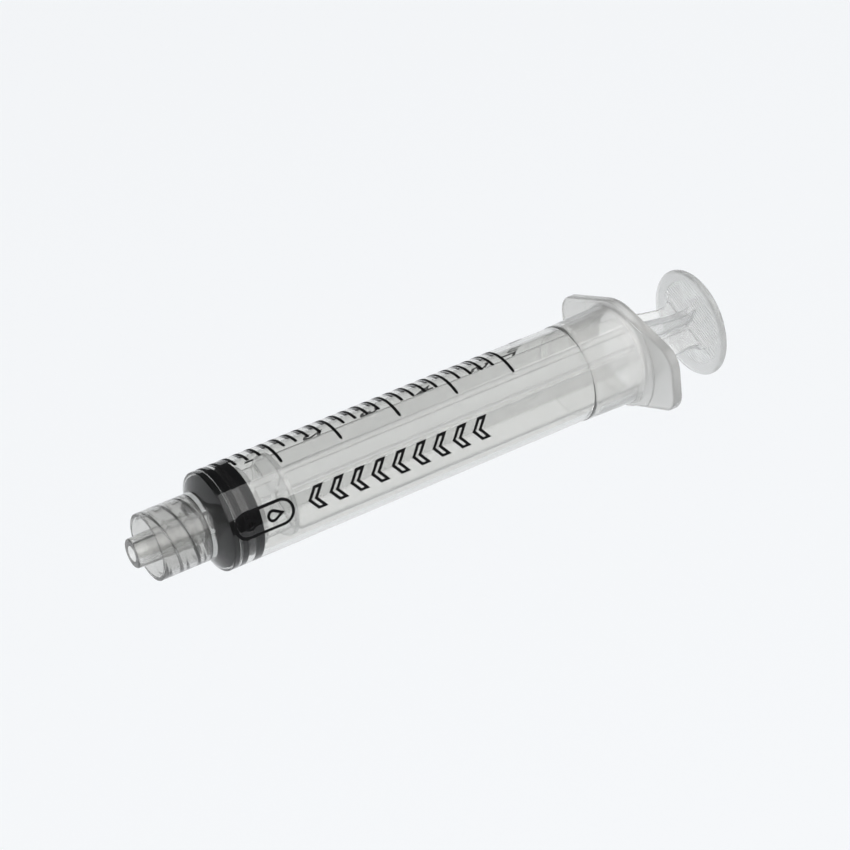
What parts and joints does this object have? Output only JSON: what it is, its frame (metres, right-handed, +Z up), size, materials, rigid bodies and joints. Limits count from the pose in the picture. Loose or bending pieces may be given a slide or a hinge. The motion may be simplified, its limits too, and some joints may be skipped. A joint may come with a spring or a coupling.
{
  "type": "oral syringe",
  "caption": "Clear plastic syringe with a luer-lock tip, six-sided finger flange, black rubber stopper and a cross-ribbed plunger rod that slides and turns.",
  "frame": {"origin": "centre of the bounding box at its lowest face, on the surface that the syringe lies on; its axis is 7.65 mm above", "axes": "+X along the syringe's axis, from the luer tip to the thumb press; +Z up, with one tapered side of the finger flange lying flat below"},
  "size_m": [0.088, 0.0258, 0.0153],
  "materials": {
    "clear_plastic": "clear moulded polypropylene, glossy",
    "black_rubber": "siliconed black rubber, satin",
    "rod_plastic": "clear to milky moulded polypropylene, glossy"
  },
  "bodies": {
    "barrel": {"barrel": "clear_plastic"},
    "stopper": {"stopper": "black_rubber"},
    "plunger_rod": {"plunger_rod": "rod_plastic"}
  },
  "joints": [
    {"name": "plunger_slide", "type": "slide", "parent": "barrel", "child": "stopper", "axis": [1, 0, 0], "range_m": [0, 0.05]},
    {"name": "rod_twist", "type": "hinge", "parent": "stopper", "child": "plunger_rod", "pos_m": [-0.03037, 0, 0.00765], "axis": [1, 0, 0], "continuous": true}
  ]
}
